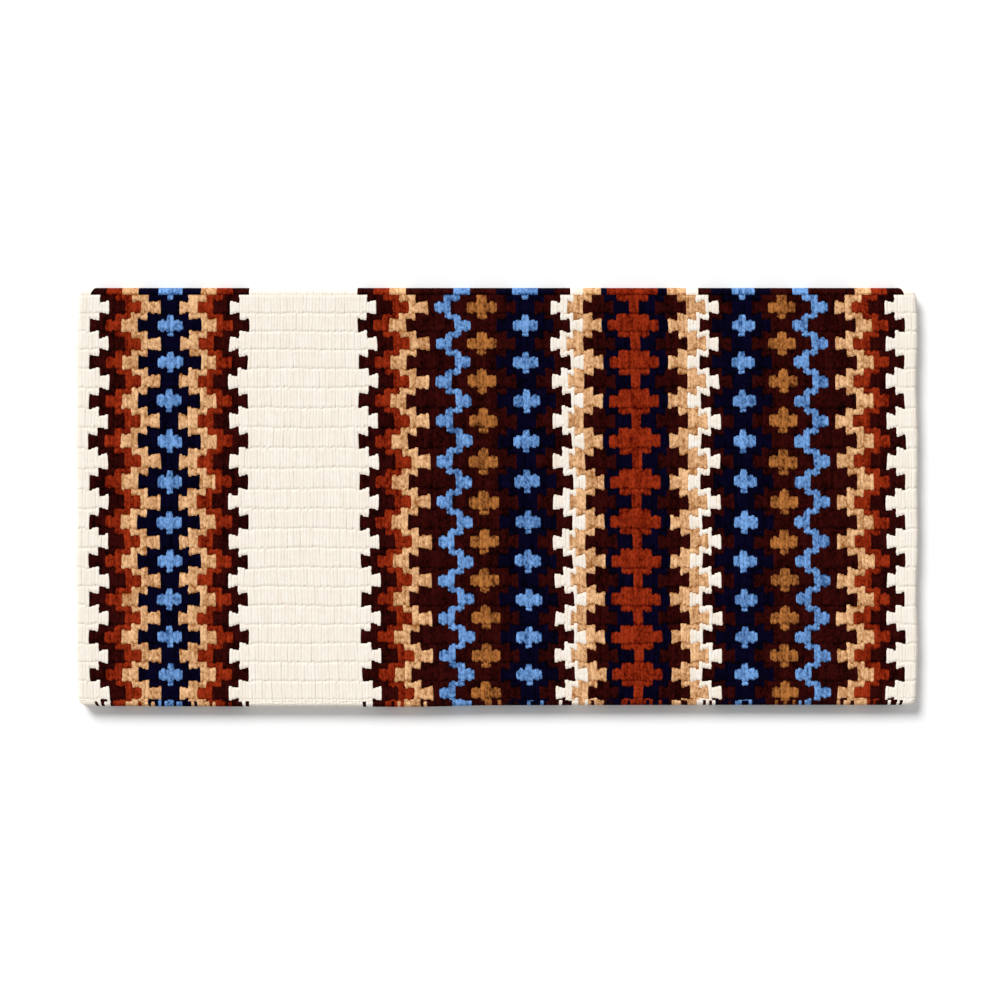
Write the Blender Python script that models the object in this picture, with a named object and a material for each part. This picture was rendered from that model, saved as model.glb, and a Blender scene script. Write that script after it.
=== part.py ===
"""A Western show saddle blanket, woven in one piece and folded once along the horse's spine.

Metres, +Z up. X runs along the spine fold and along the warps. The fold is at +Y and the two
selvedges lie over each other at -Y. The under half lies on z = 0 and the top half on it.
The cloth is weft-faced: thick warps run along X inside it, and packed weft yarns cover them
on both faces. Each weft yarn runs out over one face, turns round the selvedge cord and comes
back on the other face, so a stripe of one colour is a sleeve that is open towards the fold.
"""

import math

import bmesh
import bpy
from mathutils import Matrix, Vector

# Finished size of the cloth
BLANKET_WIDTH = 0.9144  # along the fold, 36 in
FOLDED_DEPTH = 0.4572  # from the fold to the selvedges, half of 36 in
SELVEDGE_CORNER_RADIUS = 0.013

# The build of the cloth
WEFT_THICKNESS = 0.0025  # packed weft on one face
WARP_DIAMETER = 0.0034
WARPS_PER_HALF = 65  # from the fold to the selvedge cord
WARP_CLEARANCE = 0.0003
BORDER_WALL = 0.008  # plain weft past the ends of the warps

# Gaps between pieces that touch on the real blanket
LAYER_GAP = 0.0003  # between the two halves
STRIPE_GAP = 0.0003  # between neighbouring stripes
FOLD_GAP = 0.0003  # between a half and the roll of the fold

# How finely round shapes are cut
NOSE_STEPS = 6
SLOT_STEPS = 4
FOLD_STEPS = 8
CORNER_STEPS = 4
ROUNDING_STEPS = 3
CORD_RESOLUTION = 1
ROUNDING_SHARE = 0.49  # of the cloth's thickness, just short of a full half round
SHARP_DEGREES = 35
FACING = 0.99  # how much of an axis a face's normal has when the face looks along it

# Weft yarns: linear colour
YARNS = {
    "ivory": (0.94, 0.85, 0.74),
    "white": (1.0, 0.95, 0.85),
    "tan": (0.69, 0.38, 0.19),
    "rust": (0.21, 0.021, 0.004),
    "dark_brown": (0.020, 0.002, 0.001),
    "navy": (0.002, 0.0015, 0.0095),
    "sky_blue": (0.125, 0.266, 0.54),
    "ochre": (0.38, 0.147, 0.056),
}
WARP_COLOUR = (0.72, 0.64, 0.52)
WOOL_ROUGHNESS = 0.9

# Stripes of weft from -X to +X: name, yarn and number of picks. A pick is one pass of the weft.
# The widths are those half way up each step of the zigzags, so neighbours share a straight
# border, and a thin stripe is counted with the one that it edges.
BORDER_PICKS = 7
LEFT_SIDE = [
    ("left_border", "ivory", BORDER_PICKS),
    ("left_band_rust_outer", "rust", 10),
    ("left_band_tan_outer", "tan", 6),
    ("left_band_navy", "navy", 12),
    ("left_band_tan_inner", "tan", 6),
    ("left_band_rust_inner", "rust", 10),
]
PLAIN_FIELD = [("plain_field", "ivory", 40)]
RIGHT_SIDE = [
    ("left_wing_rust", "rust", 15),
    ("left_wing_brown", "dark_brown", 9),
    ("left_wing_sky", "sky_blue", 5),
    ("left_wing_ochre", "ochre", 14),
    ("left_wing_navy", "navy", 17),
    ("centre_white_left", "white", 4),
    ("centre_tan_left", "tan", 6),
    ("centre_navy_left", "navy", 9),
    ("centre_rust", "rust", 9),
    ("centre_navy_right", "navy", 9),
    ("centre_tan_right", "tan", 6),
    ("centre_white_right", "white", 4),
    ("right_wing_navy", "navy", 16),
    ("right_wing_ochre", "ochre", 13),
    ("right_wing_sky", "sky_blue", 5),
    ("right_wing_brown", "dark_brown", 8),
    ("right_wing_rust", "rust", 15),
    ("right_border", "ivory", BORDER_PICKS),
]
STRIPES = LEFT_SIDE + PLAIN_FIELD + RIGHT_SIDE
FOLD_ROLLS = [("left_band", "rust", LEFT_SIDE), ("plain_field", "ivory", PLAIN_FIELD)]
FOLD_ROLLS += [("pattern", "dark_brown", RIGHT_SIDE)]

# Places that follow from the sizes above
SLOT = WARP_DIAMETER + 2 * WARP_CLEARANCE
CLOTH = 2 * WEFT_THICKNESS + SLOT
ROUNDING = CLOTH * ROUNDING_SHARE
HALF_WIDTH = BLANKET_WIDTH / 2
SELVEDGE_Y = -FOLDED_DEPTH / 2
NOSE_Y = SELVEDGE_Y + CLOTH / 2
FOLD_RADIUS = CLOTH + LAYER_GAP / 2
CREASE = Vector((0, FOLDED_DEPTH / 2 - FOLD_RADIUS, FOLD_RADIUS))
HALF_END_Y = CREASE.y - FOLD_GAP / 2
ROLL_START_Y = CREASE.y + FOLD_GAP / 2
MIDDLE_RADIUS = LAYER_GAP / 2 + CLOTH / 2
RIB_PITCH = (CREASE.y - NOSE_Y + MIDDLE_RADIUS * math.pi / 2) / (WARPS_PER_HALF - 0.5)
WARP_END_X = HALF_WIDTH - BORDER_WALL - WARP_CLEARANCE
HALVES = {"under": 0.0, "top": CLOTH + LAYER_GAP}


def wool(name, colour):
    """A plain matt wool of one colour."""
    material = bpy.data.materials.new(name)
    material.use_nodes = True
    shader = material.node_tree.nodes["Principled BSDF"]
    shader.inputs["Base Color"].default_value = (*colour, 1)
    shader.inputs["Roughness"].default_value = WOOL_ROUGHNESS
    shader.inputs["Metallic"].default_value = 0
    material.diffuse_color = (*colour, 1)
    return material


def arc(centre_y, centre_z, radius, start_deg, end_deg, steps):
    """Points (y, z) along an arc, both ends included. 0 degrees is +Y and 90 is +Z."""
    angles = [
        math.radians(start_deg + (end_deg - start_deg) * i / steps) for i in range(steps + 1)
    ]
    return [(centre_y + radius * math.cos(a), centre_z + radius * math.sin(a)) for a in angles]


def stripe_places():
    """{stripe: (yarn, low x, high x)}, with a gap between neighbours."""
    pick = BLANKET_WIDTH / sum(picks for _, _, picks in STRIPES)
    places = {}
    x = -HALF_WIDTH
    for name, yarn, picks in STRIPES:
        low = x + STRIPE_GAP / 2 if places else -HALF_WIDTH
        x += picks * pick
        high = x - STRIPE_GAP / 2 if len(places) < len(STRIPES) - 1 else HALF_WIDTH
        places[name] = (yarn, low, high)
    return places


def prism(bm, outline, low_x, high_x):
    """A closed solid: the outline of (y, z) points, pulled along X."""
    face = bm.faces.new([bm.verts.new((low_x, y, z)) for y, z in outline])
    pulled = bmesh.ops.extrude_face_region(bm, geom=[face])["geom"]
    ends = [v for v in pulled if isinstance(v, bmesh.types.BMVert)]
    bmesh.ops.translate(bm, verts=ends, vec=(high_x - low_x, 0, 0))


def round_edges(bm, edges):
    """Rounds the rim of the cloth to almost half its thickness."""
    bmesh.ops.bevel(
        bm,
        geom=edges,
        offset=ROUNDING,
        offset_type="OFFSET",
        affect="EDGES",
        segments=ROUNDING_STEPS,
        profile=0.5,
        material=-1,
    )


def slot_outline(base, end_y):
    """The warps' space inside a half, round at the selvedge and open at the fold."""
    middle = base + CLOTH / 2
    return [
        (end_y, middle - SLOT / 2),
        *reversed(arc(NOSE_Y, middle, SLOT / 2, 90, 270, SLOT_STEPS)),
        (end_y, middle + SLOT / 2),
    ]


def sleeve(bm, base, low_x, high_x):
    """A stripe of weft: both faces and the turn round the selvedge cord."""
    outside = [
        (HALF_END_Y, base + CLOTH),
        *arc(NOSE_Y, base + CLOTH / 2, CLOTH / 2, 90, 270, NOSE_STEPS),
        (HALF_END_Y, base),
    ]
    prism(bm, outside + slot_outline(base, HALF_END_Y), low_x, high_x)


def border_slab(bm, base, inner_x, side):
    """The plain border at a warp end: a slab with a round selvedge corner and round edges."""
    outer_x = side * HALF_WIDTH
    centre_x = outer_x - side * SELVEDGE_CORNER_RADIUS
    centre_y = SELVEDGE_Y + SELVEDGE_CORNER_RADIUS
    corner = arc(0, 0, SELVEDGE_CORNER_RADIUS, 270, 360, CORNER_STEPS)
    plan = [(inner_x, HALF_END_Y), (inner_x, SELVEDGE_Y)]
    plan += [(centre_x + side * x, centre_y + y) for x, y in corner]
    plan += [(outer_x, HALF_END_Y)]
    face = bm.faces.new([bm.verts.new((x, y, base)) for x, y in plan])
    pulled = bmesh.ops.extrude_face_region(bm, geom=[face])["geom"]
    raised = [v for v in pulled if isinstance(v, bmesh.types.BMVert)]
    bmesh.ops.translate(bm, verts=raised, vec=(0, 0, CLOTH))
    bm.normal_update()

    def faces_along(edge, axis, place):
        return any(
            abs(face.normal[axis]) > FACING and abs(face.calc_center_median()[axis] - place) < ROUNDING
            for face in edge.link_faces
        )

    rim = [
        edge
        for edge in bm.edges
        if any(abs(face.normal.z) > FACING for face in edge.link_faces)
        and not faces_along(edge, 0, inner_x)
        and not faces_along(edge, 1, HALF_END_Y)
    ]
    round_edges(bm, rim)


def fold_roll(bm, low_x, high_x):
    """A stretch of weft over the fold: a half round, with round edges at the warp ends."""
    outline = arc(CREASE.y, CREASE.z, FOLD_RADIUS, -90, 90, FOLD_STEPS)
    flat = [(ROLL_START_Y, CREASE.z + FOLD_RADIUS), (ROLL_START_Y, CREASE.z - FOLD_RADIUS)]
    prism(bm, [*outline[1:-1], *flat], low_x, high_x)
    bm.normal_update()
    rim = [
        edge
        for edge in bm.edges
        if any(
            abs(face.normal.x) > FACING and abs(face.calc_center_median().x) > HALF_WIDTH - ROUNDING
            for face in edge.link_faces
        )
        and not all(abs(vert.co.y - ROLL_START_Y) < FOLD_GAP for vert in edge.verts)
    ]
    if rim:
        round_edges(bm, rim)


def cord_mesh(name, path, radius):
    """A closed tube along the path, with caps."""
    curve = bpy.data.curves.new(name, "CURVE")
    curve.dimensions = "3D"
    curve.bevel_depth = radius
    curve.bevel_resolution = CORD_RESOLUTION
    curve.use_fill_caps = True
    spline = curve.splines.new("POLY")
    spline.points.add(len(path) - 1)
    for point, place in zip(spline.points, path):
        point.co = (*place, 1)
    shape = bpy.data.objects.new(name, curve)
    bpy.context.scene.collection.objects.link(shape)
    ready = shape.evaluated_get(bpy.context.evaluated_depsgraph_get())
    mesh = bpy.data.meshes.new_from_object(ready)
    bpy.data.objects.remove(shape, do_unlink=True)
    return mesh


def to_and_fro(runs, overrun=0.0):
    """The path of one warp: a straight run at each (y, z), joined by a half turn at its end."""
    path = []
    side = -1
    for i, (y, z) in enumerate(runs):
        here = Vector((0, y, z))
        for end, neighbour in ((side, i - 1), (-side, i + 1)):
            joined = 0 <= neighbour < len(runs)
            if not joined:
                path.append(here + Vector((end * (WARP_END_X + overrun), 0, 0)))
                continue
            there = Vector((0, *runs[neighbour]))
            reach = (there - here).length / 2
            turn_x = WARP_END_X - WARP_DIAMETER / 2 - reach
            path.append(here + Vector((end * turn_x, 0, 0)))
            if neighbour > i:
                path.append((here + there) / 2 + Vector((end * (turn_x + reach), 0, 0)))
        side = -side
    return path


def shaped(bm):
    """The bmesh as a mesh, with its faces pointing out."""
    bmesh.ops.recalc_face_normals(bm, faces=bm.faces)
    mesh = bpy.data.meshes.new("shape")
    bm.to_mesh(mesh)
    bm.free()
    return mesh


def add_node(name, mesh, material, hinge=None):
    """Makes the mesh one named object. With a hinge, its origin lies on the crease."""
    if hinge:
        mesh.transform(Matrix.Translation(-CREASE))
    mesh.name = name
    mesh.materials.clear()
    mesh.materials.append(material)
    mesh.shade_smooth()
    mesh.set_sharp_from_angle(angle=math.radians(SHARP_DEGREES))
    node = bpy.data.objects.new(name, mesh)
    bpy.context.scene.collection.objects.link(node)
    node.parent = hinge
    return node


def hollow_out(node, mesh):
    """Cuts the mesh's shape out of a node. The cutter stays in the scene as a guide."""
    cutter = bpy.data.objects.new(f"{node.name}_space", mesh)
    cutter.hide_render = True
    cutter.display_type = "WIRE"
    bpy.context.scene.collection.objects.link(cutter)
    cut = node.modifiers.new("warp space", "BOOLEAN")
    cut.operation = "DIFFERENCE"
    cut.solver = "EXACT"
    cut.object = cutter


def warp_space(base):
    """The space for the warps of one half, from border wall to border wall."""
    bm = bmesh.new()
    past_end = HALF_END_Y + FOLD_GAP
    prism(bm, slot_outline(base, past_end), BORDER_WALL - HALF_WIDTH, HALF_WIDTH - BORDER_WALL)
    return shaped(bm)


def weave_half(half, base, wools, hinge):
    """Every stripe of weft in one half of the blanket, each a node."""
    for name, (yarn, low_x, high_x) in stripe_places().items():
        bm = bmesh.new()
        if name == "left_border":
            border_slab(bm, base, high_x, -1)
        elif name == "right_border":
            border_slab(bm, base, low_x, 1)
        else:
            sleeve(bm, base, low_x, high_x)
        node = add_node(f"{half}_{name}", shaped(bm), wools[yarn], hinge)
        if name.endswith("border"):
            hollow_out(node, warp_space(base))


def weave_fold(wools, hinge):
    """The weft over the fold, in rolls that lie between the same stripe borders."""
    places = stripe_places()
    for name, yarn, stripes in FOLD_ROLLS:
        bm = bmesh.new()
        fold_roll(bm, places[stripes[0][0]][1], places[stripes[-1][0]][2])
        node = add_node(f"spine_fold_{name}", shaped(bm), wools[yarn], hinge)
        space = cord_mesh("warp_space", fold_warp_path(WARP_CLEARANCE), SLOT / 2)
        hollow_out(node, space)


def lay_warps(half, base, material, hinge):
    """One half's warp, which runs to and fro inside the weft, and its selvedge cord."""
    z = base + CLOTH / 2
    runs = [
        (CREASE.y - ((k + 0.5) * RIB_PITCH - MIDDLE_RADIUS * math.pi / 2), z)
        for k in range(1, WARPS_PER_HALF)
    ]
    radius = WARP_DIAMETER / 2
    add_node(f"{half}_warp", cord_mesh("warp", to_and_fro(runs[:-1]), radius), material, hinge)
    cord = cord_mesh("cord", to_and_fro(runs[-1:]), radius)
    add_node(f"{half}_selvedge_cord", cord, material, hinge)


def fold_warp_path(overrun=0.0):
    """Two runs inside the roll of the fold, one to each side of its middle."""
    turn = RIB_PITCH / 2 / MIDDLE_RADIUS
    runs = [
        (
            CREASE.y + MIDDLE_RADIUS * math.cos(angle),
            CREASE.z + MIDDLE_RADIUS * math.sin(angle),
        )
        for angle in (turn, -turn)
    ]
    return to_and_fro(runs, overrun)


def main():
    """Clears the scene and builds every node, the top half and the fold on the crease."""
    for old in list(bpy.data.objects):
        bpy.data.objects.remove(old, do_unlink=True)
    hinge = bpy.data.objects.new("spine_crease", None)
    hinge.location = CREASE
    bpy.context.scene.collection.objects.link(hinge)
    bpy.context.view_layer.update()
    wools = {yarn: wool(f"{yarn}_weft", colour) for yarn, colour in YARNS.items()}
    warp_wool = wool("warp_cord", WARP_COLOUR)
    for half, base in HALVES.items():
        moves = hinge if half == "top" else None
        lay_warps(half, base, warp_wool, moves)
        weave_half(half, base, wools, moves)
    radius = WARP_DIAMETER / 2
    add_node("spine_fold_warp", cord_mesh("warp", fold_warp_path(), radius), warp_wool, hinge)
    weave_fold(wools, hinge)


main()
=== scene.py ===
# %% [markdown]
# This lesson dresses a Western show saddle blanket. The real one is a single thick cloth of
# wool, folded once along the horse's spine, and everything that shows on it is weft: yarn
# that runs across hidden warps and is packed so tightly that it covers them. A picture on a
# flat slab would look right from above and nowhere else, so here every stretch of yarn that
# shows is a small form of its own, laid where the loom would put it.

# %% The fixed frame
import math

import bmesh
import bpy
import numpy as np
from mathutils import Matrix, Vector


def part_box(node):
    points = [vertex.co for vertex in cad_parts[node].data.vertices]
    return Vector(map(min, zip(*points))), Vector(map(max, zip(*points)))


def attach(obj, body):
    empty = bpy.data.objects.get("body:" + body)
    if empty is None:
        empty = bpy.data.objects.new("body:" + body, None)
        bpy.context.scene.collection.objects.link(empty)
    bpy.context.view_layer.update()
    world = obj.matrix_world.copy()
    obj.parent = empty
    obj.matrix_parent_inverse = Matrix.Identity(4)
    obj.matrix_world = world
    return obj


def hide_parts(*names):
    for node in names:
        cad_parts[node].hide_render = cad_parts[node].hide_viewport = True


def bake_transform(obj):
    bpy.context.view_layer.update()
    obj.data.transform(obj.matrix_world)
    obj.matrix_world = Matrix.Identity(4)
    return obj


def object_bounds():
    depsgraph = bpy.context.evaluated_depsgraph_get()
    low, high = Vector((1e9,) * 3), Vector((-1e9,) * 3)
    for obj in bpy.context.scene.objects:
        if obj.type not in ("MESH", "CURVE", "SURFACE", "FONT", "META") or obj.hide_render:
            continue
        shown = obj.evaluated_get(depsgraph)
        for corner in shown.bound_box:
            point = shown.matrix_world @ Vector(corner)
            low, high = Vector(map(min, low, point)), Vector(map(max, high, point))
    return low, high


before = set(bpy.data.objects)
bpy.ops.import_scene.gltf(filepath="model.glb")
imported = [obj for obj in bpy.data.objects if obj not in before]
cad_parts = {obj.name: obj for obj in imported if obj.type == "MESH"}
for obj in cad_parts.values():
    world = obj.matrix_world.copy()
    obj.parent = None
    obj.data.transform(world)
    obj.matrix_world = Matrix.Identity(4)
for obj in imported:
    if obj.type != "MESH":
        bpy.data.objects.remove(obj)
cad_low, cad_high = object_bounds()
print("box in mm", [round(1000 * c, 1) for c in (*cad_low, *cad_high)])

# %% [markdown]
# The blanket is measured before anything is made. X runs along the fold and along the warps,
# and the two selvedges lie over each other at -Y. The size of the cloth, its thickness and the
# place of the crease come from the solids of the frame. What the loom decides is counted: 65
# warps lie in each half, and 262 passes of weft, called picks, lie across the width.

# %% Sizes of the cloth
WARPS_PER_HALF = 65
PICKS = 262
SLOT_SHARE = 4 / 9  # of the cloth's thickness, the middle part that holds the warps

HALF_WIDTH = cad_high.x
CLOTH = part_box("under_plain_field")[1].z
CLOTH_RADIUS = CLOTH / 2
BASE = CLOTH_RADIUS * SLOT_SHARE  # where the weft of a face begins, from the cloth's middle
CREASE_Z = cad_high.z / 2
CREASE_Y = cad_high.y - CREASE_Z
MIDDLE_RADIUS = CREASE_Z - CLOTH_RADIUS
ROLL_RUN = MIDDLE_RADIUS * math.pi / 2
NOSE_RUN = ROLL_RUN + CREASE_Y - cad_low.y - CLOTH_RADIUS
FLAT_RUN = NOSE_RUN - ROLL_RUN
RIB = NOSE_RUN / (WARPS_PER_HALF - 0.5)
PICK = 2 * HALF_WIDTH / PICKS
print(f"cloth {1000 * CLOTH:.1f} mm, rib {1000 * RIB:.2f} mm, pick {1000 * PICK:.2f} mm")
print(f"crease at y {1000 * CREASE_Y:.1f}, z {1000 * CREASE_Z:.1f} mm")

# %% [markdown]
# Everything is laid out as on the loom and then folded. A point of the flat cloth has three
# measures: across, which is how far it lies from the centre line; run, which is the way from
# the middle of the fold, plus on the top half and minus on the under half; and reach, which is
# how far it stands off the middle of the cloth, plus on the outer face. One function turns
# these into a place on the folded blanket, so yarns need no care of their own at the fold, at
# the round warp ends or at the selvedge. The same function adds what the loom and use left
# uneven: ribs that were packed closer in one place than in another, picks that settled to one
# side and lean, a selvedge that bows a little, and small waves everywhere.

# %% How the cloth lies
EDGE_START = HALF_WIDTH - CLOTH_RADIUS  # past this the cloth rounds over its warp ends
SELVEDGE_CORNER = 0.013
FOLD_CORNER = 0.012
CORNER_EASE = 0.045  # how far from the end the corners draw the yarns in
BELLY = 0.0015  # how much wider the cloth is at mid depth and narrower at its ends, as a share
BEAT_DRIFT = ((2, 0.0032), (3, 0.0013))  # half waves from fold to selvedge, and their size
SETTLING = (  # across, how far the picks there settled to the right, and how far they lean
    (-0.457, -0.0014, 0.0),
    (-0.37, 0.0, 0.0),
    (-0.30, -0.0028, -0.001),
    (-0.14, 0.0004, 0.006),
    (0.08, 0.0014, 0.0056),
    (0.235, -0.0018, 0.0044),
    (0.30, -0.0004, 0.004),
    (0.355, -0.0024, 0.003),
    (0.40, 0.001, 0.002),
    (0.457, 0.0, 0.0),
)
SELVEDGE_BOW = ((-0.457, 0.0008), (-0.09, 0.0), (-0.02, 0.0014), (0.11, 0.0016), (0.24, 0.0018))
BOW_POWER = 20  # the bow is only in the last ribs, and too small to bare the selvedge cord
WANDER = ((0.0005, 9.0, 4.0, 0.3), (0.0004, -5.0, 11.0, 1.9), (0.0002, 31.0, 17.0, 4.1))
WANDER_EASE = 0.25  # the share of a half at its fold and at its selvedge where the ribs wander less


def corner_pull(distance, radius):
    """How far a round corner lies inside a square one, at this distance from the edge."""
    into = np.clip(radius - distance, 0, radius)
    return radius - np.sqrt(radius**2 - into**2)


def wander(a, b):
    """The small waves of a hand-packed weave: size, waves per metre along both, and phase."""
    return sum(
        size * np.sin(2 * math.pi * (a_waves * a + b_waves * b) + phase)
        for size, a_waves, b_waves, phase in WANDER
    )


def lay(across, run, reach):
    """Places on the folded blanket for arrays of across, run and reach."""
    side = np.sign(across)
    over = np.maximum(np.abs(across) - EDGE_START, 0) / CLOTH_RADIUS
    x = np.clip(across, -EDGE_START, EDGE_START) + side * np.abs(reach) * np.sin(over)
    height = reach * np.cos(over)

    half = np.where(run < 0, -1.0, 1.0)
    beyond = np.abs(run) - NOSE_RUN
    turn = np.clip(beyond / CLOTH_RADIUS, 0, math.pi)
    back = np.maximum(beyond - math.pi * CLOTH_RADIUS, 0)
    along = np.minimum(np.abs(run), NOSE_RUN) + height * np.sin(turn) - back
    height = height * np.cos(turn)

    bend = half * np.clip(along / MIDDLE_RADIUS, 0, math.pi / 2)
    flat = np.maximum(along - ROLL_RUN, 0)
    radius = MIDDLE_RADIUS + height
    share = flat / FLAT_RUN
    drift = sum(size * np.sin(waves * math.pi * share) for waves, size in BEAT_DRIFT)
    inside = np.clip(share / WANDER_EASE, 0, 1) * np.clip((1 - share) / WANDER_EASE, 0, 1)
    drift = drift + wander(x, flat) * inside
    places, settled, lean = zip(*SETTLING)
    bow = share**BOW_POWER * np.interp(x, *zip(*SELVEDGE_BOW))
    leaning = (share - 0.5) * np.interp(x, places, lean)
    x = x + np.interp(x, places, settled) + leaning + wander(flat, x)
    y = CREASE_Y + radius * np.cos(bend) - flat + drift + bow
    z = CREASE_Z + radius * np.sin(bend)

    ease = np.clip((np.abs(x) - HALF_WIDTH + CORNER_EASE) / CORNER_EASE, 0, 1) ** 2
    pull = corner_pull(y - cad_low.y, SELVEDGE_CORNER) + corner_pull(cad_high.y - y, FOLD_CORNER)
    middle = 1 - (2 * y / (cad_high.y - cad_low.y)) ** 2
    x = x * (1 + BELLY * (2 * middle - 1)) - side * pull * ease
    return np.stack([x, y, z], axis=-1)


corners = lay(np.array([-HALF_WIDTH, 0, 0]), np.array([RIB, 0, NOSE_RUN]), np.full(3, CLOTH_RADIUS))
print("laid test points in mm", np.round(1000 * corners, 1).tolist())

# %% [markdown]
# The pattern is a weaving draft of zigzags and diamonds, as handed down for blankets of this
# kind. Seen from the fold, the ribs step through three levels: two ribs at the first, one at
# the second, two at the third, one at the second again. With each level a border moves to the
# left or to the right, most of them by three picks and a few by half a pick more or less,
# rounded down. Two borders that move against each other draw a diamond. So a whole stripe is
# just its two borders at the first level and the way that each one moves. Later stripes are
# woven over earlier ones.

# %% The weaving draft
LEVELS = (0, 1, 2, 2, 1, 0)  # the level of each rib, counted from the fold, over and over
STAY, OUT, IN = 0, 3, -3  # how many picks a border moves to the right with each level
FAR_OUT, FAR_IN, NEAR_OUT, NEAR_IN = 3.5, -3.5, 2.5, -2.5

BANDS = [
    ("left_border", "ivory", (0, STAY), (29, STAY)),
    ("plain_field", "ivory", (29, STAY), (120, STAY)),
    ("right_border", "ivory", (230, STAY), (262, STAY)),
    ("left_band_dark_brown", "dark_brown", (4, OUT), (54, IN)),
    ("left_band_rust", "rust", (9, OUT), (49, IN)),
    ("left_band_tan", "tan", (14, OUT), (44, IN)),
    ("left_band_navy", "navy", (19, FAR_OUT), (39, FAR_IN)),
    ("left_band_sky_diamond", "sky_blue", (25, OUT), (33, IN)),
    ("left_wing_dark_brown", "dark_brown", (88, OUT), (154, IN)),
    ("left_wing_rust", "rust", (93, OUT), (98, OUT)),
    ("left_wing_tan", "tan", (98, OUT), (103, FAR_OUT)),
    ("left_wing_sky_zigzag", "sky_blue", (118, IN), (123, IN)),
    ("left_wing_ochre_cross", "ochre", (128, IN), (125, OUT)),
    ("left_wing_navy", "navy", (131, OUT), (149, IN)),
    ("left_wing_sky_diamond", "sky_blue", (136, OUT), (144, IN)),
    ("centre_white", "white", (154, IN), (195, OUT)),
    ("centre_tan", "tan", (158, NEAR_IN), (191, OUT)),
    ("centre_navy", "navy", (164, IN), (185, OUT)),
    ("centre_dark_brown", "dark_brown", (164, IN), (162, OUT)),
    ("centre_dark_brown", "dark_brown", (187, IN), (185, OUT)),
    ("centre_rust", "rust", (166, FAR_OUT), (182, IN)),
    ("right_wing_dark_brown", "dark_brown", (195, OUT), (258, IN)),
    ("right_wing_navy", "navy", (199, OUT), (217, IN)),
    ("right_wing_sky_diamond", "sky_blue", (205, NEAR_OUT), (212, IN)),
    ("right_wing_ochre_cross", "ochre", (222, IN), (219, OUT)),
    ("right_wing_sky_zigzag", "sky_blue", (224, OUT), (229, OUT)),
    ("right_wing_tan", "tan", (243, IN), (248, IN)),
    ("right_wing_rust", "rust", (248, IN), (253, IN)),
]
STRIPES = list(dict.fromkeys(name for name, *_ in BANDS))
YARN_OF = {name: yarn for name, yarn, *_ in BANDS}


def woven_at(level):
    """The number of the stripe that shows at each pick, on a rib of this level."""
    shown = np.zeros(PICKS, int)
    for name, _, (left, left_move), (right, right_move) in BANDS:
        begin, end = int(left + left_move * level), int(right + right_move * level)
        shown[begin:end] = STRIPES.index(name)
    return shown


DRAFT = [woven_at(level) for level in range(3)]
for level, shown in enumerate(DRAFT):
    print("level", level, "has", len(set(shown.tolist())), "stripes")

# %% [markdown]
# On the real loom a pick is one pass of weft across the warps. On the finished cloth the picks
# lie side by side along X. At the two warp ends the cloth is round, and three narrower picks
# on each face go down its side until they meet those of the other face.

# %% The columns of weft
EDGE_PICKS = 3
FLAT_PICKS = 258
FIRST_FLAT_PICK = (PICKS - FLAT_PICKS) // 2
flat_across = (np.arange(FLAT_PICKS) + 0.5) * PICK - FLAT_PICKS / 2 * PICK
edge_from = FLAT_PICKS / 2 * PICK
edge_width = (EDGE_START + CLOTH_RADIUS * math.pi / 2 - edge_from) / EDGE_PICKS
edge_across = edge_from + (np.arange(EDGE_PICKS) + 0.5) * edge_width

COLUMN_ACROSS = np.concatenate([-edge_across[::-1], flat_across, edge_across])
COLUMN_WIDTH = np.concatenate(
    [np.full(EDGE_PICKS, edge_width), np.full(FLAT_PICKS, PICK), np.full(EDGE_PICKS, edge_width)]
)
from_left = np.arange(len(COLUMN_ACROSS)) - EDGE_PICKS + FIRST_FLAT_PICK
COLUMN_PICK = np.clip(from_left, 0, PICKS - 1)
print(len(COLUMN_ACROSS), "columns, the edge ones", round(1000 * edge_width, 2), "mm wide")

# %% [markdown]
# A float is the stretch of yarn that shows between the place where it comes up from the inside
# of the cloth and the place where it dives again. It looks like a small loaf: it rises, runs
# over one, two or three ribs with a slight dip between them, and falls. There are about
# thirty-four thousand of them, so each one may have only a few dozen faces. A loaf starts as
# one polygon, the section of the yarn, which is extruded station by station. The stations are
# then given their heights and widths. On the outer face of the top half, on the fold and in the
# turns a yarn gets six points around it. Everywhere else four are enough, with no dips.

# %% The form of a float
FINE_SECTION = ((-0.5, 0.92), (-0.24, 1.0), (0.24, 1.0), (0.5, 0.92), (0.4, 0.1), (-0.4, 0.1))
PLAIN_SECTION = ((-0.5, 0.7), (-0.22, 1.0), (0.22, 1.0), (0.5, 0.7))
END_LIFT = 0.72
SHOULDER_LIFT = 0.95
DIP_LIFT = 0.97
SHOULDER_SHARE = 0.32  # of a rib, from the end of a float to its shoulder
END_WIDTH = 0.9
VISIBLE_FROM = 0.5  # the points of a section above this height show, and draw in at the ends
CAP_STRIP = 0.04  # the share of a float's place on the bake map that each end takes
CAP_FACING = 0.9  # a face that looks along the yarn more than this is one of its ends
CAP_MARGIN = 0.05  # left free on both sides of an end's strip
CAP_FOOT, CAP_RISE = 0.1, 0.7  # where an end stands in its strip, and how much it takes of it
SIDE_MARGIN = 0.03  # left free on both sides of a float's place
SIDES_START = 1.5 * CAP_STRIP  # where the long faces begin, clear of the strip
DIGITS = 4  # enough to tell two points of a form apart


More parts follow.
